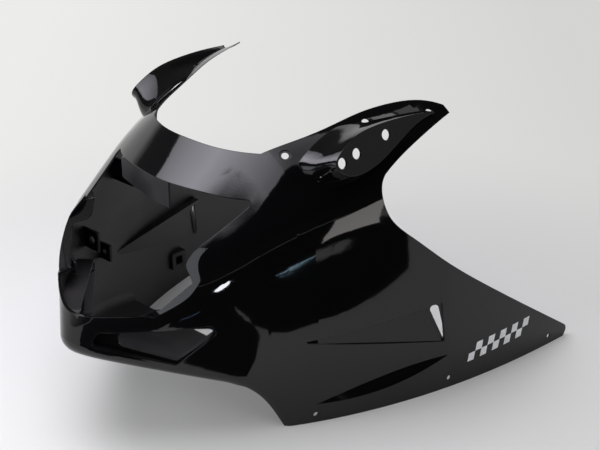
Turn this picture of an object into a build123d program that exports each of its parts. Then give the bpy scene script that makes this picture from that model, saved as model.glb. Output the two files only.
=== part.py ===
"""Upper fairing of a sports touring motorcycle: one moulded shell with an open lamp aperture."""
import os

from build123d import *

# Frame: X across the bike, nose towards -Y, Z up from the table. All sizes are in millimetres.
wall = 3.0
wall_front = 4.6

# Waterlines of the outer skin: height, nose, corner x and y, cheek x and y, half widths at three stations.
mid_station = 37
rear_station = 197
tail_station = 390
waterlines = [
    (-40, -334, 58, -281, 173, -136, 256, 292, 306),
    (0, -342, 58, -291, 174, -143, 255, 290, 304),
    (40, -350, 58, -301, 175, -150, 254, 288, 302),
    (80, -358, 58, -311, 176, -157, 252, 285, 299),
    (160, -360, 60, -322, 178, -163, 249, 281, 295),
    (240, -318, 110, -282, 184, -143, 246, 279, 293),
    (310, -227, 123, -188, 189, -109, 244, 276, 291),
    (365, -151, 127, -111, 167, -58, 222, 252, 272),
    (400, -104, 98, -66, 131, -27, 182, 218, 244),
    (420, -75, 60, -43, 93, -1, 124, 190, 232),
]

# Side view: chin plane with its floor, wheel arch, tail and rear edge.
chin_rear_y = -205
chin_rear_z = 83
chin_slope = 0.367
chin_round = 20
floor_rear_y = -80
arch_y = -134
tail_y = 364
tail_rake = 10
tail_round = 9
waist_y = 3
tip_y = 156
top_z = 460
far = 340

# Mirror pods: stations across, how far the foot flares forward and downward there.
pod_stations = [(230, 0, 0), (206, 2, 2), (197, 4, 9), (187, 8, 22), (172, 13, 38), (150, 18, 48)]
pod_front_y = -61
pod_top_z = 413
pad_x = 207
pad_z = 378
pad_tilt = (0.95, -0.07, 0.30)
stud_radius = 7.5
stud_places = [(10, 0), (38, 3), (96, 8)]

# Side vents: a panel that dips inwards below a crease, open at its rear end.
vent_front = (199, -123, 134)
vent_low = (266, 100, 77)
vent_top = (261, 96, 139)
vent_dip = 10
slot_width = 17

# Intakes in the chin, drawn on a plane square to the cheek.
intake_centre = (90, -290, 155)
intake_facing = (0.72, -0.69, 0)
intake_round = 7
intake_depth = 28

# Lamp seat: a flat rim on both lower sides of the aperture.
seat_point = (0, -217, 287)
seat_facing = (0, -0.79, 0.61)

# Lugs inside, square to the bike: x, station, height, width, tallness, hole radius.
lug_thickness = 4
lugs = [
    (172, -116, 279, 56, 34, 7),
    (148, -200, 206, 44, 30, 6),
    (174, -158, 164, 40, 26, 4),
    (112, -266, 204, 34, 26, 4),
]
boss_y = 49
boss_z = 51
boss_size = 28
boss_rim = 7
boss_inner_x = 244
plate_y = -168

# Screws.
screw_radius = 5
seat_radius = 8
seat_depth = 0.8
edge_screw_radius = 3.8
edge_screws = [(-94, 13), (111, 15), (318, 13)]
bonnet_screw = ((132, -82, 378), (0.51, -0.42, 0.75))
lobe_screws = [((170, 34, 408), (0, 0, 1)), ((205, 127, 405), (0.3, -0.1, 0.95))]


def skin(inset_front, inset_side):
    """Lofts the bullet-shaped body through the waterlines, drawn in by the wall for the inside."""
    with BuildPart() as lofted:
        for height, nose, corner_x, corner_y, cheek_x, cheek_y, mid, rear, tail in waterlines:
            half = [
                (corner_x - 0.5 * inset_side, corner_y + 0.8 * inset_front),
                (cheek_x - 0.9 * inset_side, cheek_y + 0.4 * inset_front),
                (mid - inset_side, mid_station),
                (rear - inset_side, rear_station),
                (tail - inset_side, tail_station),
            ]
            other = [(-x, y) for x, y in reversed(half)]
            with BuildSketch(Plane.XY.offset(height)):
                with BuildLine():
                    Spline(*other, (0, nose + inset_front), *half)
                    Line(half[-1], other[0])
                make_face()
        loft()
    return lofted.part


def chin(y, lift=0):
    """Height of the sloping chin plane at a station."""
    return chin_rear_z + chin_slope * (chin_rear_y - y) + lift


def pods(inset):
    """Lofts the flared mirror pods and cuts them flat at the pads."""
    pad = Plane(origin=(pad_x, pod_front_y, pad_z), z_dir=pad_tilt)
    with BuildPart() as pair:
        for x, front, drop in pod_stations:
            top = pod_top_z - 0.2 * drop - inset
            tail = 128 + 0.3 * drop - 5 * inset
            tail_top = pod_top_z - 7 - 0.2 * drop - 0.3 * inset
            tail_low = tail_top - 3 - 0.1 * drop
            with BuildSketch(Plane.YZ.offset(x)):
                with BuildLine():
                    Spline(
                        (tail, tail_top),
                        (82, top - 2),
                        (26, top),
                        (-19, top - 5),
                        (-46 - 0.6 * front + 0.7 * inset, 395 - 0.25 * drop - 0.7 * inset),
                        (pod_front_y - front + inset, pad_z - 0.3 * drop),
                        (-50 - front + 0.7 * inset, 364 - 0.7 * drop + 0.7 * inset),
                        (-22, 357 - drop + inset),
                        (23 + 0.2 * drop, 367 - drop + inset),
                        (65 + 0.4 * drop, 386 - 0.8 * drop + inset),
                        (tail, tail_low),
                    )
                    Line((tail, tail_low), (tail, tail_top))
                make_face()
        loft()
        split(bisect_by=pad.offset(-inset), keep=Keep.BOTTOM)
        mirror(about=Plane.YZ)
    return pair.part


def vents(grow):
    """Wedges that dip the vent panels; grown by the wall, they shape the inside as well."""
    front = Vector(vent_front)
    hinge = Vector(vent_low) - front
    dipped = Vector(vent_top) - Vector(vent_dip, 0, 0) - front
    panel = Plane(origin=front, x_dir=hinge, z_dir=hinge.cross(dipped))
    with BuildPart() as pair:
        with BuildSketch(Plane.YZ.offset(150)):
            with BuildLine():
                Polyline(vent_front[1:], vent_top[1:], vent_low[1:], close=True)
            make_face()
            if grow > 0:
                offset(amount=grow, kind=Kind.INTERSECTION)
        extrude(amount=200)
        split(bisect_by=panel.offset(-grow), keep=Keep.TOP)
        mirror(about=Plane.YZ)
    return pair.part


def lamp_seats(grow):
    """Wedges that cut the flat lamp seats; grown by the wall, they shape the inside as well."""
    seat = Plane(origin=seat_point, x_dir=(1, 0, 0), z_dir=seat_facing)
    with BuildPart() as pair:
        with BuildSketch(Plane.XZ.offset(100)):
            with BuildLine():
                Spline(
                    (126 + grow, 287 + grow),
                    (131 + grow, 266),
                    (138 + grow, 252),
                    (134 + grow, 235),
                    (118 + 0.8 * grow, 217 - 0.6 * grow),
                    (101 + 0.8 * grow, 203 - grow),
                )
                Polyline(
                    (101 + 0.8 * grow, 203 - grow),
                    (86, 206 - grow),
                    (86, 287 + grow),
                    (126 + grow, 287 + grow),
                )
            make_face()
        extrude(amount=320)
        split(bisect_by=seat.offset(-grow), keep=Keep.TOP)
        mirror(about=Plane.YZ)
    return pair.part


def intakes(grow, depth):
    """Both intake mouths as prisms square to the cheeks."""
    mouth = Plane(origin=intake_centre, x_dir=(-intake_facing[1], intake_facing[0], 0), z_dir=intake_facing)
    outline = [(-83, 0), (-70, 21), (78, 28), (87, 13), (32, -34)]
    with BuildPart() as pair:
        with BuildSketch(mouth.offset(-depth)):
            with BuildLine():
                FilletPolyline(*outline, radius=intake_round, close=True)
            make_face()
            if grow > 0:
                offset(amount=grow)
        extrude(amount=depth + 20)
        mirror(about=Plane.YZ)
    return pair.part


# Side profile that the moulding is trimmed to.
with BuildPart() as profile:
    with BuildSketch(Plane.YZ) as side_view:
        with BuildLine():
            Line((-420, chin(-420)), (chin_rear_y, chin_rear_z))
            Spline((chin_rear_y, chin_rear_z), (-165, 54), (arch_y, 0), tangents=[(1, -chin_slope), (0.45, -0.9)])
            Line((arch_y, 0), (tail_y - tail_rake, 0))
            Line((tail_y - tail_rake, 0), (tail_y, 14))
            Spline(
                (tail_y, 14),
                (285, 69),
                (185, 140),
                (99, 207),
                (49, 252),
                (waist_y + 5, 299),
                (waist_y, 326),
                (waist_y + 13, 349),
            )
            Spline((waist_y + 13, 349), (64, 374), (115, 390), (tip_y, 398))
            Line((tip_y, 398), (tip_y + 8, top_z))
            Line((tip_y + 8, top_z), (-420, top_z))
            Line((-420, top_z), (-420, chin(-420)))
        make_face()
        fillet(side_view.vertices().sort_by_distance((tail_y, 14))[0], radius=tail_round)
        fillet(side_view.vertices().sort_by_distance((tail_y - tail_rake, 0))[0], radius=0.5 * tail_round)
    extrude(amount=far, both=True)

# Outside of the moulding.
with BuildPart() as body:
    add(skin(0, 0))
    add(profile.part, mode=Mode.INTERSECT)
    lip = body.edges().filter_by(GeomType.BSPLINE).sort_by_distance((0, -364, 141))[0]
    fillet(lip, radius=chin_round)
    add(pods(0))
    add(vents(0), mode=Mode.SUBTRACT)
    add(lamp_seats(0), mode=Mode.SUBTRACT)

# Inside of the moulding, open above and below the chin floor.
with BuildPart() as hollow:
    add(skin(wall_front, wall))
    with BuildSketch(Plane.YZ):
        with BuildLine():
            Polyline(
                (-420, chin(-420, wall)),
                (floor_rear_y, chin(floor_rear_y, wall)),
                (floor_rear_y, chin(floor_rear_y)),
                (chin_rear_y, chin_rear_z),
                (chin_rear_y, -60),
                (420, -60),
                (420, top_z),
                (-420, top_z),
                close=True,
            )
        make_face()
    extrude(amount=far, both=True, mode=Mode.INTERSECT)
    lip = hollow.edges().filter_by(GeomType.BSPLINE).sort_by_distance((0, -360, 144))[0]
    fillet(lip, radius=chin_round - wall)
    add(pods(wall))
    add(vents(wall), mode=Mode.SUBTRACT)
    add(lamp_seats(wall), mode=Mode.SUBTRACT)

# Ribs moulded inside: duct rims, lugs and the square bosses of the flanks.
with BuildPart() as ribs:
    add(intakes(wall, intake_depth))
    for x, y, z, width, tall, hole in lugs:
        with BuildSketch(Plane.XZ.offset(-y)):
            with Locations((x, z), (-x, z)):
                Rectangle(width, tall)
            with Locations((x - 0.2 * width, z), (0.2 * width - x, z)):
                Circle(hole, mode=Mode.SUBTRACT)
        extrude(amount=lug_thickness)
    with BuildSketch(Plane.YZ.offset(boss_inner_x), Plane.YZ.offset(-boss_inner_x - 40)):
        with Locations((boss_y, boss_z)):
            Rectangle(boss_size, boss_size)
            Rectangle(boss_size - 2 * boss_rim, boss_size - 2 * boss_rim, mode=Mode.SUBTRACT)
    extrude(amount=40)
    add(body.part, mode=Mode.INTERSECT)

# Plate that hangs behind the bonnet on one side, above the lamp.
with BuildPart() as plate:
    with BuildSketch(Plane.XZ.offset(-plate_y)):
        with BuildLine():
            Polyline((-8, 380), (-108, 380), (-107, 303), (-75, 295), (-31, 286), (-8, 286), close=True)
        make_face()
    extrude(amount=-wall)
    add(body.part, mode=Mode.INTERSECT)

# Shell with its openings.
with BuildPart() as fairing:
    add(body.part)
    add(hollow.part, mode=Mode.SUBTRACT)
    add(ribs.part)
    add(intakes(0, intake_depth + 30), mode=Mode.SUBTRACT)
    # Screen cut-out, drawn in plan.
    with BuildSketch(Plane.XY.offset(340)):
        with BuildLine():
            Spline((0, -132), (60, -126), (108, -104), tangents=[(1, 0), (0.8, 0.6)])
            Spline((108, -104), (136, -31), (161, 68), (182, 127), (222, 170))
            Polyline((222, 170), (222, 240), (0, 240), (0, -132))
        make_face()
        mirror(about=Plane.YZ)
    extrude(amount=160, mode=Mode.SUBTRACT)
    # Lamp aperture, drawn in front view.
    with BuildSketch(Plane.XZ.offset(100)):
        with BuildLine():
            Spline((0, 337), (83, 336), (128, 334), tangents=[(1, 0), (1, 0)])
            ThreePointArc((128, 334), (134, 332), (136, 326))
            Line((136, 326), (117, 287))
            Spline((117, 287), (104, 272), (103, 262), (114, 254), (127, 246))
            Line((127, 246), (97, 208))
            Spline((97, 208), (67, 201), (39, 197), (0, 194), tangents=[(-1, -0.6), (-1, 0)])
            Line((0, 194), (0, 337))
        make_face()
        mirror(about=Plane.YZ)
    extrude(amount=320, mode=Mode.SUBTRACT)
    add(plate.part)
    # Slots of the side vents and the screws along the lower edges.
    with BuildSketch(Plane.YZ):
        with BuildLine():
            Polyline(
                (vent_top[1] - slot_width, vent_top[2]),
                (vent_top[1] + 1.3 * wall, vent_top[2]),
                (vent_low[1] + 1.3 * wall, vent_low[2]),
                vent_low[1:],
                close=True,
            )
        make_face()
        with Locations(*edge_screws):
            Circle(edge_screw_radius)
    extrude(amount=far, both=True, mode=Mode.SUBTRACT)
    # Screws along the screen and studs in the pads.
    for side in (1, -1):
        for place, facing in [bonnet_screw, *lobe_screws]:
            ledge = Plane(origin=(side * place[0], *place[1:]), z_dir=(side * facing[0], *facing[1:]))
            with Locations(ledge.offset(2)):
                if place == bonnet_screw[0]:
                    CounterBoreHole(screw_radius, seat_radius, 2 + seat_depth, depth=14)
                else:
                    Hole(screw_radius, depth=14)
        pad = Plane(
            origin=(side * pad_x, pod_front_y, pad_z),
            x_dir=(0, 1, 0.1),
            z_dir=(side * pad_tilt[0], *pad_tilt[1:]),
        )
        with Locations(pad.offset(4)):
            with Locations(*[(along, side * lift) for along, lift in stud_places]):
                Hole(stud_radius, depth=12)

os.makedirs("parts", exist_ok=True)
fairing.part.label = "fairing_shell"
export_step(fairing.part, "parts/fairing_shell.step")
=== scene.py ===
import math

import bpy
from mathutils import Matrix, Vector


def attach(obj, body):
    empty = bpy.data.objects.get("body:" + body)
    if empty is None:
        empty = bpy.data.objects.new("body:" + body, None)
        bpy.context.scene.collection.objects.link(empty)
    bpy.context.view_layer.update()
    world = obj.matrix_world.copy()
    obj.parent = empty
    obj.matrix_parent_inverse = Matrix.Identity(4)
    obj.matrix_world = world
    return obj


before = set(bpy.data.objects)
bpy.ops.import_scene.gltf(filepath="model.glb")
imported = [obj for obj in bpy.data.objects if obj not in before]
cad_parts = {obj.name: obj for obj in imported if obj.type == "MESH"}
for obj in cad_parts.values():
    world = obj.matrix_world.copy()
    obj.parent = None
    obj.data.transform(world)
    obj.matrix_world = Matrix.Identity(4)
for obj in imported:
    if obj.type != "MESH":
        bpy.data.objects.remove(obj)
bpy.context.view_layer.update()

# The shell is one injection moulding of black ABS, lacquered outside and left as moulded inside.
# The CAD shell carries both finishes itself, face by face, because its own normals keep the gloss
# smooth. All sizes in this file are in metres.
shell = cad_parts["fairing_shell"]


def linear(code):
    """sRGB hex code to linear colour."""
    values = [int(code[i : i + 2], 16) / 255 for i in (1, 3, 5)]
    return [v / 12.92 if v <= 0.04045 else ((v + 0.055) / 1.055) ** 2.4 for v in values] + [1]


def emptied(block):
    """A new material or world, with its node tree emptied."""
    block.use_nodes = True
    block.node_tree.nodes.clear()
    return block


def add_node(block, kind, settings, links):
    """A node with its settings, and links from other nodes' outputs to its sockets."""
    node = block.node_tree.nodes.new("ShaderNode" + kind)
    for name, value in settings.items():
        if isinstance(name, int) or name in node.inputs:
            node.inputs[name].default_value = value
        else:
            setattr(node, name, value)
    for name, output in links.items():
        block.node_tree.links.new(output, node.inputs[name])
    return node


# Black lacquer: a deep, nearly mirror-like coat. It has a faint orange peel of about 3 mm, wiped
# haze in patches of about 60 mm, and edges that the paint rounds off and that catch the light.
peel_per_metre = 300
haze_per_metre = 16
edge_round = 0.0009
black_lacquer = emptied(bpy.data.materials.new("black_lacquer"))
place = add_node(black_lacquer, "TexCoord", {}, {}).outputs["Object"]
peel = add_node(black_lacquer, "TexNoise", {"Scale": peel_per_metre, "Detail": 1}, {"Vector": place})
haze = add_node(black_lacquer, "TexNoise", {"Scale": haze_per_metre, "Detail": 3}, {"Vector": place})
gloss = add_node(
    black_lacquer,
    "MapRange",
    {"To Min": 0.035, "To Max": 0.065},
    {"Value": haze.outputs["Fac"]},
)
edges = add_node(black_lacquer, "Bevel", {"samples": 6, "Radius": edge_round}, {})

# Above its lower edge the flank flares out a little, over a long leaf that climbs to the rear. Only
# the gloss shows it, so it is a bump in the lacquer: the height falls steadily across the leaf, and
# the leaf's width swells and closes along its run. Its two ends are given as station and height.
leaf_front = (-0.095, 0.030)
leaf_rear = (0.110, 0.053)
leaf_half_width = 0.011
leaf_slope = 0.33
axes = add_node(black_lacquer, "SeparateXYZ", {}, {"Vector": place})
run = add_node(
    black_lacquer,
    "MapRange",
    {"From Min": leaf_front[0], "From Max": leaf_rear[0]},
    {"Value": axes.outputs["Y"]},
).outputs["Result"]
rest = add_node(black_lacquer, "Math", {"operation": "SUBTRACT", 0: 1}, {1: run})
swell = add_node(black_lacquer, "Math", {"operation": "MULTIPLY"}, {0: run, 1: rest.outputs[0]})
# Half way along, run times rest is a quarter.
leaf_top = add_node(
    black_lacquer,
    "Math",
    {"operation": "MULTIPLY", 1: 4 * leaf_half_width},
    {0: swell.outputs[0]},
)
leaf_foot = add_node(
    black_lacquer, "Math", {"operation": "MULTIPLY", 1: -1}, {0: leaf_top.outputs[0]}
)
leaf_spine = add_node(
    black_lacquer,
    "Math",
    {"operation": "MULTIPLY_ADD", 1: leaf_rear[1] - leaf_front[1], 2: leaf_front[1]},
    {0: run},
)
off_spine = add_node(
    black_lacquer,
    "Math",
    {"operation": "SUBTRACT"},
    {0: axes.outputs["Z"], 1: leaf_spine.outputs[0]},
)
capped = add_node(
    black_lacquer,
    "Math",
    {"operation": "MINIMUM"},
    {0: off_spine.outputs[0], 1: leaf_top.outputs[0]},
)
kept = add_node(
    black_lacquer,
    "Math",
    {"operation": "MAXIMUM"},
    {0: capped.outputs[0], 1: leaf_foot.outputs[0]},
)
flare = add_node(
    black_lacquer, "Math", {"operation": "MULTIPLY", 1: -leaf_slope}, {0: kept.outputs[0]}
)
leaf = add_node(
    black_lacquer,
    "Bump",
    {"Strength": 1, "Distance": 1},
    {"Height": flare.outputs[0], "Normal": edges.outputs["Normal"]},
)
skin = add_node(
    black_lacquer,
    "Bump",
    {"Strength": 0.02, "Distance": 0.0005},
    {"Height": peel.outputs["Fac"], "Normal": leaf.outputs["Normal"]},
)
coat = add_node(
    black_lacquer,
    "BsdfPrincipled",
    {"Base Color": linear("#060607"), "IOR": 1.47},
    {"Roughness": gloss.outputs["Result"], "Normal": skin.outputs["Normal"]},
)
add_node(black_lacquer, "OutputMaterial", {}, {"Surface": coat.outputs["BSDF"]})

# Moulded ABS: the bare inside, dark grey and dull, clouded in patches of about 35 mm where the melt
# flowed. The grain of the mould is drawn at about 1 mm, coarser than the real one, so that it shows.
grain_per_metre = 900
cloud_per_metre = 28
moulded_abs = emptied(bpy.data.materials.new("moulded_abs"))
place = add_node(moulded_abs, "TexCoord", {}, {}).outputs["Object"]
grain = add_node(moulded_abs, "TexNoise", {"Scale": grain_per_metre, "Detail": 2}, {"Vector": place})
skin = add_node(
    moulded_abs, "Bump", {"Strength": 0.1, "Distance": 0.0003}, {"Height": grain.outputs["Fac"]}
)
cloud = add_node(moulded_abs, "TexNoise", {"Scale": cloud_per_metre, "Detail": 4}, {"Vector": place})
tone = add_node(moulded_abs, "ValToRGB", {}, {"Fac": cloud.outputs["Fac"]})
dark_end, pale_end = tone.color_ramp.elements
dark_end.position, dark_end.color = 0.35, linear("#151416")
pale_end.position, pale_end.color = 0.7, linear("#242224")
rubbed = add_node(
    moulded_abs, "MapRange", {"To Min": 0.42, "To Max": 0.6}, {"Value": cloud.outputs["Fac"]}
)
dull = add_node(
    moulded_abs,
    "BsdfPrincipled",
    {"IOR": 1.42},
    {
        "Base Color": tone.outputs["Color"],
        "Roughness": rubbed.outputs["Result"],
        "Normal": skin.outputs["Normal"],
    },
)
add_node(moulded_abs, "OutputMaterial", {}, {"Surface": dull.outputs["BSDF"]})

# Faces that look out from the bike's middle are lacquered. Those that look in, those that another
# wall covers, and the lugs and the plate, which stand square to the bike, are bare.
middle_height = 0.15
middle_front = -0.15
nose_start = -0.29
pod_foot = 0.3
square_on = 0.9999
clear_of_face = 0.0005
shell.data.materials.clear()
shell.data.materials.append(black_lacquer)
shell.data.materials.append(moulded_abs)
for face in shell.data.polygons:
    middle = Vector((0, max(face.center.y * 0.5, middle_front), middle_height))
    outward = face.center - middle
    squared = abs(face.normal.y) > square_on and face.center.y > nose_start
    start = face.center + face.normal * clear_of_face
    covered = face.center.z < pod_foot and shell.ray_cast(start, outward.normalized())[0]
    face.material_index = 1 if squared or covered or face.normal.dot(outward) < 0 else 0

# The intakes and the vent slots have moulded lips that round their mouths off. They are of the
# shell's own ABS, lacquered with it, and are fused to the walls a little behind the outer face.
lip_thickness = 0.0015
lip_points = 48


def moulded_lip(name, side, origin, along, up, hole, rim):
    """A thin lip between two outlines, each drawn round a few circles: along, up and radius."""
    bpy.ops.object.select_all(action="DESELECT")
    bpy.ops.mesh.primitive_circle_add(vertices=lip_points, radius=1)
    lip = bpy.context.active_object
    lip.name = name
    bpy.ops.object.mode_set(mode="EDIT")
    bpy.ops.mesh.select_all(action="SELECT")
    bpy.ops.mesh.extrude_edges_move()
    bpy.ops.object.mode_set(mode="OBJECT")
    for point in lip.data.vertices:
        way = point.co.xy
        circles = hole if point.index < lip_points else rim
        u, v, radius = max(circles, key=lambda c: c[0] * way.x + c[1] * way.y + c[2])
        spot = origin + (u + radius * way.x) * along + (v + radius * way.y) * up
        point.co = (side * spot.x, spot.y, spot.z)
    body = lip.modifiers.new("lip", "SOLIDIFY")
    body.thickness = lip_thickness
    body.offset = 0
    bpy.ops.object.modifier_apply(modifier="lip")
    bpy.ops.object.mode_set(mode="EDIT")
    bpy.ops.mesh.select_all(action="SELECT")
    bpy.ops.mesh.normals_make_consistent(inside=False)
    bpy.ops.object.mode_set(mode="OBJECT")
    lip.data.materials.append(black_lacquer)
    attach(lip, "root")


# The intake's mouth: three rounded corners inside the duct, whose own corners the rim follows.
mouth_facing = Vector((0.72, -0.69, 0)).normalized()
mouth_depth = 0.013
mouth_middle = Vector((0.090, -0.290, 0.155)) - mouth_depth * mouth_facing
mouth_along = Vector((-mouth_facing.y, mouth_facing.x, 0))
mouth_up = Vector((0, 0, 1))
mouth_hole = [(-0.0314, 0.0048, 0.0135), (0.0740, 0.0110, 0.0075), (0.0305, -0.0206, 0.0082)]
duct_corners = [(-0.083, 0), (-0.070, 0.021), (0.078, 0.028), (0.087, 0.013), (0.032, -0.034)]
into_wall = 0.0015
mouth_rim = [(u, v, into_wall) for u, v in duct_corners]

# The vent's tear: a small round below and a larger one above, with the rim hidden in the wall.
tear_low = Vector((0.2644, 0.1049, 0.0837))
tear_top = Vector((0.2557, 0.0929, 0.1281))
tear_facing = Vector((0.835, -0.55, 0.014))
tear_length = (tear_top - tear_low).length
tear_up = (tear_top - tear_low).normalized()
tear_along = tear_facing.cross(tear_up).normalized()
tear_hole = [(0, 0, 0.0021), (0, tear_length, 0.0064)]
tear_rim = [(0, 0, 0.0096), (0, tear_length, 0.0174)]

for hand, side in (("right", 1), ("left", -1)):
    moulded_lip(
        "intake_lip_" + hand, side, mouth_middle, mouth_along, mouth_up, mouth_hole, mouth_rim
    )
    moulded_lip("vent_lip_" + hand, side, tear_low, tear_along, tear_up, tear_hole, tear_rim)

# A strip of white vinyl, cut as two rows of slanted checks and pressed on the lacquer of each flank,
# low down towards the tail. It is thin film, so it follows the flank's curve. Its middle is given as
# station and height.
check_size = 0.0125
check_columns = 10
check_rows = 2
check_cuts = 4
strip_middle = (0.205, 0.048)
strip_slant = 0.35
strip_tilt = math.radians(3)
beside_flank = 0.31
film = 0.0002

# White vinyl: satin film, very slightly uneven in tone, in spots of about 8 mm.
spots_per_metre = 120
white_vinyl = emptied(bpy.data.materials.new("white_vinyl"))
place = add_node(white_vinyl, "TexCoord", {}, {}).outputs["Object"]
spots = add_node(white_vinyl, "TexNoise", {"Scale": spots_per_metre, "Detail": 3}, {"Vector": place})
tone = add_node(white_vinyl, "ValToRGB", {}, {"Fac": spots.outputs["Fac"]})
tone.color_ramp.elements[0].color = linear("#dcdde0")
tone.color_ramp.elements[1].color = linear("#f2f3f5")
satin = add_node(
    white_vinyl,
    "BsdfPrincipled",
    {"Roughness": 0.35, "IOR": 1.45},
    {"Base Color": tone.outputs["Color"]},
)
add_node(white_vinyl, "OutputMaterial", {}, {"Surface": satin.outputs["BSDF"]})

for name, side in (("checked_strip_right", 1), ("checked_strip_left", -1)):
    bpy.ops.object.select_all(action="DESELECT")
    bpy.ops.mesh.primitive_grid_add(
        x_subdivisions=check_columns, y_subdivisions=check_rows, size=1
    )
    strip = bpy.context.active_object
    strip.name = name
    bpy.ops.object.mode_set(mode="EDIT")
    bpy.ops.mesh.select_mode(type="FACE")
    bpy.ops.mesh.select_all(action="DESELECT")
    bpy.ops.object.mode_set(mode="OBJECT")
    for face in strip.data.polygons:
        column = math.floor((face.center.x + 0.5) * check_columns)
        face.select = (column + (face.center.y > 0)) % 2 == 1
    bpy.ops.object.mode_set(mode="EDIT")
    bpy.ops.mesh.delete(type="FACE")
    bpy.ops.mesh.select_all(action="SELECT")
    bpy.ops.mesh.edge_split(type="VERT")
    bpy.ops.mesh.subdivide(number_cuts=check_cuts)
    bpy.ops.object.mode_set(mode="OBJECT")
    strip.data.transform(
        Matrix.Diagonal((check_size * check_columns, check_size * check_rows, 1, 1))
    )
    strip.data.transform(
        Matrix(((1, strip_slant, 0, 0), (0, 1, 0, 0), (0, 0, 1, 0), (0, 0, 0, 1)))
    )
    strip.data.transform(Matrix.Rotation(strip_tilt, 4, "Z"))
    # Stood upright beside the flank, with its length along the bike.
    strip.data.transform(
        Matrix(
            (
                (0, 0, side, side * beside_flank),
                (1, 0, 0, strip_middle[0]),
                (0, 1, 0, strip_middle[1]),
                (0, 0, 0, 1),
            )
        )
    )
    strip.data.materials.append(white_vinyl)
    press = strip.modifiers.new("press", "SHRINKWRAP")
    press.target = shell
    press.wrap_method = "NEAREST_SURFACEPOINT"
    press.wrap_mode = "OUTSIDE_SURFACE"
    press.offset = film
    bpy.ops.object.modifier_apply(modifier="press")
    body = strip.modifiers.new("film", "SOLIDIFY")
    body.thickness = film
    body.offset = 0
    bpy.ops.object.modifier_apply(modifier="film")
    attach(strip, "root")

# The studio's floor is a wide sheet of pale paper. Near the object it is plain and takes the soft
# shadow. Further off it glows an even paleness, with painted shade that darkens it a little
# towards the right.
floor_width = 60
plain_radius = 0.3
pale_radius = 1.0
rightwards = (0.7155, 0.6986, 0)
bpy.ops.object.select_all(action="DESELECT")
bpy.ops.mesh.primitive_plane_add(size=floor_width)
floor = bpy.context.active_object
floor.name = "studio_floor"
paper = emptied(bpy.data.materials.new("studio_paper"))
place = add_node(paper, "TexCoord", {}, {}).outputs["Object"]
sheet = add_node(
    paper, "BsdfPrincipled", {"Base Color": linear("#dcdcdb"), "Roughness": 0.9}, {}
)
across = add_node(paper, "VectorMath", {"operation": "DOT_PRODUCT", 1: rightwards}, {0: place})
# Painted shade: the glow dims towards the right, as light falling off across the paper would.
painted_shade_falloff = add_node(
    paper,
    "MapRange",
    {"From Min": -0.6, "From Max": 0.7, "To Min": 0.84, "To Max": 0.66},
    {"Value": across.outputs["Value"]},
)
glow = add_node(
    paper, "Emission", {"Color": linear("#fffffe")}, {"Strength": painted_shade_falloff.outputs["Result"]}
)
away = add_node(paper, "VectorMath", {"operation": "LENGTH"}, {0: place})
far = add_node(
    paper,
    "MapRange",
    {"interpolation_type": "SMOOTHSTEP", "From Min": plain_radius, "From Max": pale_radius},
    {"Value": away.outputs["Value"]},
)
ray = add_node(paper, "LightPath", {}, {}).outputs
mirrored = add_node(
    paper,
    "Math",
    {"operation": "MAXIMUM"},
    {0: ray["Is Glossy Ray"], 1: ray["Is Transmission Ray"]},
)
looked_at = add_node(
    paper,
    "Math",
    {"operation": "MAXIMUM"},
    {0: mirrored.outputs[0], 1: ray["Is Camera Ray"]},
)
shown = add_node(
    paper,
    "Math",
    {"operation": "MULTIPLY"},
    {0: far.outputs["Result"], 1: looked_at.outputs[0]},
)
blend = add_node(
    paper,
    "MixShader",
    {},
    {"Fac": shown.outputs[0], 1: sheet.outputs["BSDF"], 2: glow.outputs["Emission"]},
)
add_node(paper, "OutputMaterial", {}, {"Surface": blend.outputs["Shader"]})
floor.data.materials.append(paper)


# The lamps: a cool softbox in front that the gloss shows, and three fills that only light what is
# matt. Each stands at a place and faces the object from an azimuth and elevation in degrees.
def soft_lamp(name, place, facing, size, power, colour, in_gloss):
    """A rectangular soft lamp, out of the camera's sight."""
    bpy.ops.object.light_add(type="AREA", location=place)
    lamp = bpy.context.active_object
    lamp.name = name
    lamp.data.shape = "RECTANGLE"
    lamp.data.size, lamp.data.size_y = size
    lamp.data.energy = power
    lamp.data.color = linear(colour)[:3]
    turn, rise = (math.radians(angle) for angle in facing)
    out = Vector(
        (math.sin(turn) * math.cos(rise), -math.cos(turn) * math.cos(rise), math.sin(rise))
    )
    lamp.rotation_euler = (-out).to_track_quat("-Z", "Y").to_euler()
    lamp.visible_camera = False
    lamp.visible_glossy = in_gloss


soft_lamp("softbox_front", (-1.01, -1.61, 0.85), (-40, 26), (0.8, 1.1), 4.2, "#eff5ff", True)
soft_lamp("fill_light", (-0.3, -0.3, 2.6), (0, 90), (2.6, 2.6), 58, "#ffffff", False)
soft_lamp("fill_front", (-0.4, -2.3, 0.55), (-10, 12), (2.2, 0.9), 62, "#ffffff", False)
soft_lamp("fill_right", (2.6, -0.2, 1.2), (86, 25), (1.5, 1.2), 12, "#ffffff", False)

# The lamp overhead is a long softbox, set a little askew. Its cloth is brightest left of the middle
# and fades to both ends, to the rear, and quickly at its front edge.
top_length = 1.62
top_depth = 0.78
top_skew = 0.21
top_middle = (-0.31, -0.255, 1.3)
top_left, top_bright, top_right = -1.12, -0.5, 0.5
bpy.ops.mesh.primitive_plane_add(size=1)
top_box = bpy.context.active_object
top_box.name = "softbox_top"
top_box.data.transform(
    Matrix(
        (
            (top_length, 0, 0, top_middle[0]),
            (top_skew, -top_depth, 0, top_middle[1]),
            (0, 0, -1, top_middle[2]),
            (0, 0, 0, 1),
        )
    )
)
cloth = emptied(bpy.data.materials.new("softbox_cloth"))
place = add_node(cloth, "TexCoord", {}, {}).outputs["Object"]
axes = add_node(cloth, "SeparateXYZ", {}, {"Vector": place})
left_end = add_node(
    cloth,
    "MapRange",
    {"From Min": top_left, "From Max": top_bright, "To Min": 2.8, "To Max": 7.0},
    {"Value": axes.outputs["X"]},
)
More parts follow.
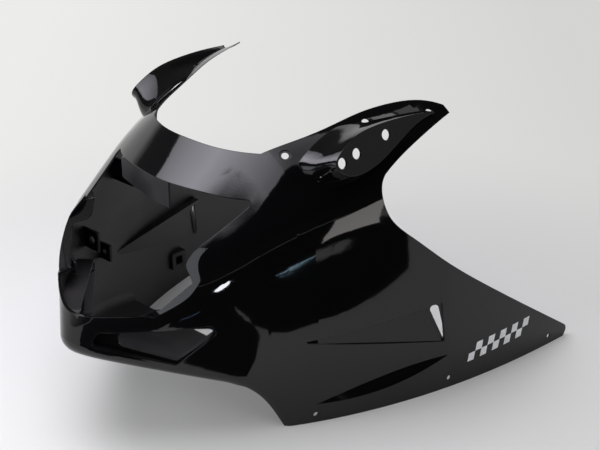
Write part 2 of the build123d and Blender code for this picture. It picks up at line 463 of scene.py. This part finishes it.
right_end = add_node(
    cloth,
    "MapRange",
    {"From Min": top_bright, "From Max": top_right, "To Min": 7.0, "To Max": 2.2},
    {"Value": axes.outputs["X"]},
)
lengthwise = add_node(
    cloth,
    "Math",
    {"operation": "MINIMUM"},
    {0: left_end.outputs["Result"], 1: right_end.outputs["Result"]},
)
askew = add_node(
    cloth,
    "VectorMath",
    {"operation": "DOT_PRODUCT", 1: (-top_skew / top_length, 1, 0)},
    {0: place},
)
front_end = add_node(
    cloth,
    "MapRange",
    {"From Min": -0.605, "From Max": -0.53},
    {"Value": askew.outputs["Value"]},
)
rear_end = add_node(
    cloth,
    "MapRange",
    {"From Min": -0.3, "From Max": 0.06, "To Min": 1.0, "To Max": 0.35},
    {"Value": axes.outputs["Y"]},
)
crosswise = add_node(
    cloth,
    "Math",
    {"operation": "MULTIPLY"},
    {0: front_end.outputs["Result"], 1: rear_end.outputs["Result"]},
)
level = add_node(
    cloth,
    "Math",
    {"operation": "MULTIPLY"},
    {0: lengthwise.outputs[0], 1: crosswise.outputs[0]},
)
glow = add_node(
    cloth, "Emission", {"Color": linear("#f3f1fb")}, {"Strength": level.outputs[0]}
)
add_node(cloth, "OutputMaterial", {}, {"Surface": glow.outputs["Emission"]})
top_box.data.materials.append(cloth)
top_box.visible_camera = False


# Glowing cards that only the gloss shows, and that light nothing, paint reflections onto the
# lacquer. Black ones on the floor paint dark reflections that keep the front and the flank dark.
# Pale ones paint highlights: the patch on the flank, the band on the pod and the small lamps'
# glints.
def card(name, corner, along, across, level, colour, rounded=False):
    """A flat glowing card that only the gloss shows and that lights nothing, a painted reflection,
    from a corner along its two edges.
    """
    if rounded:
        bpy.ops.mesh.primitive_circle_add(vertices=32, radius=0.5, fill_type="NGON")
    else:
        bpy.ops.mesh.primitive_plane_add(size=1)
    sheet = bpy.context.active_object
    sheet.name = name
    sheet.data.transform(Matrix.Translation((0.5, 0.5, 0)))
    sheet.data.transform(Matrix((along, across, (0, 0, 1))).transposed().to_4x4())
    sheet.data.transform(Matrix.Translation(corner))
    finish = emptied(bpy.data.materials.new(name))
    glow = add_node(finish, "Emission", {"Color": linear(colour), "Strength": level}, {})
    add_node(finish, "OutputMaterial", {}, {"Surface": glow.outputs["Emission"]})
    finish.cycles.emission_sampling = "NONE"
    sheet.data.materials.append(finish)
    sheet.visible_camera = False
    sheet.visible_diffuse = False
    sheet.visible_shadow = False


# Painted dark reflections: near-black glowing sheets on the floor, seen only in the gloss.
black = 0.008
painted_dark_reflections = [
    ("painted_dark_reflection_front", (0.1, -0.43, 0.001), (9.9, 6, 0), (-0.9, -8, 0)),
    ("painted_dark_reflection_chin", (0.2, -0.36, 0.0012), (0.06, 0.135, 0), (0.6, 0, 0)),
    ("painted_dark_reflection_right", (0.43, -0.23, 0.0015), (0.44, 0.395, 0), (12, 0, 0)),
    ("painted_dark_reflection_side", (0.58, -0.09, 0.002), (0.135, 0.275, 0), (0.5, 0.05, 0)),
]
for name, corner, along, across in painted_dark_reflections:
    card(name, corner, along, across, black, "#ffffff")

# Painted highlights: pale glowing cards, seen only in the gloss, that light nothing.
card("painted_highlight_pod", (0.07, 0.34, 1.29), (0.12, 0, 0), (0.02, 0.2, 0), 2.6, "#ffffff")
card("painted_highlight_pod_rear", (0.06, 0.56, 1.29), (0.12, 0, 0), (0.05, 0.25, 0), 0.9, "#ffffff")
card(
    "painted_highlight_side",
    (0.435, -0.032, 0.152),
    (0.012, 0.092, 0.034),
    (0.037, -0.004, 0.135),
    3.3,
    "#f4efec",
)
card(
    "painted_highlight_bright",
    (0.376, -0.274, 0.1175),
    (0.014, 0.042, 0.042),
    (0.004, -0.0175, 0.033),
    26,
    "#f6f9ff",
    rounded=True,
)
card(
    "painted_highlight_thin",
    (0.289, -0.138, 0.1835),
    (0.018, 0.062, 0.013),
    (0, 0, 0.0016),
    7,
    "#a8cbe0",
    rounded=True,
)
card(
    "painted_highlight_low",
    (0.169, -0.301, 0.113),
    (0.037, 0.033, 0.023),
    (0, 0.001, 0.004),
    2.5,
    "#8fb4e6",
    rounded=True,
)

# The room round it has a pale wall to the left, which dims towards the front, a dark right side, and
# a dark upper part. Past the floor's edge the camera sees a plain pale backdrop instead.
wall_levels = [
    (-180, 0.3),
    (-142, 0.3),
    (-134, 0.8),
    (-110, 1.0),
    (-84, 1.0),
    (-66, 0.6),
    (-45, 0.6),
    (-22, 0.2),
    (-8, 0.015),
    (110, 0.015),
    (118, 0.3),
    (180, 0.3),
]
room = emptied(bpy.data.worlds.new("studio"))
bpy.context.scene.world = room
direction = add_node(room, "TexCoord", {}, {}).outputs["Generated"]
axes = add_node(room, "SeparateXYZ", {}, {"Vector": direction})
ahead = add_node(room, "Math", {"operation": "MULTIPLY", 1: -1}, {0: axes.outputs["Y"]})
around = add_node(
    room, "Math", {"operation": "ARCTAN2"}, {0: axes.outputs["X"], 1: ahead.outputs[0]}
)
turn = add_node(
    room,
    "MapRange",
    {"From Min": -math.pi, "From Max": math.pi},
    {"Value": around.outputs[0]},
)
walls = add_node(room, "ValToRGB", {}, {"Fac": turn.outputs["Result"]})
stops = walls.color_ramp.elements
while len(stops) < len(wall_levels):
    stops.new(1)
for stop, (degrees, brightness) in zip(stops, wall_levels):
    stop.position = (degrees + 180) / 360
    stop.color = (brightness, brightness, brightness, 1)
upper = add_node(
    room,
    "MapRange",
    {"From Min": 0.36, "From Max": 0.46, "To Min": 1.0, "To Max": 0.09},
    {"Value": axes.outputs["Z"]},
)
light = add_node(
    room, "Background", {}, {"Color": walls.outputs["Color"], "Strength": upper.outputs["Result"]}
)
backdrop = add_node(room, "Background", {"Color": linear("#e0e0df")}, {})
ray = add_node(room, "LightPath", {}, {}).outputs
seen = add_node(
    room,
    "MixShader",
    {},
    {
        "Fac": ray["Is Camera Ray"],
        1: light.outputs["Background"],
        2: backdrop.outputs["Background"],
    },
)
add_node(room, "OutputWorld", {}, {"Surface": seen.outputs["Shader"]})

# The camera stands where the photograph was taken from, with a long lens. The lens and the film's
# width are in millimetres.
azimuth = math.radians(44.32)
elevation = math.radians(24.58)
lens_length = 90
film_width = 36
bpy.ops.object.camera_add(location=(1.439, -1.392, 1.123))
camera = bpy.context.active_object
camera.rotation_euler = (math.pi / 2 - elevation, 0, azimuth)
camera.data.lens = lens_length
camera.data.sensor_width = film_width
bpy.context.scene.camera = camera
bpy.context.scene.view_settings.view_transform = "Standard"
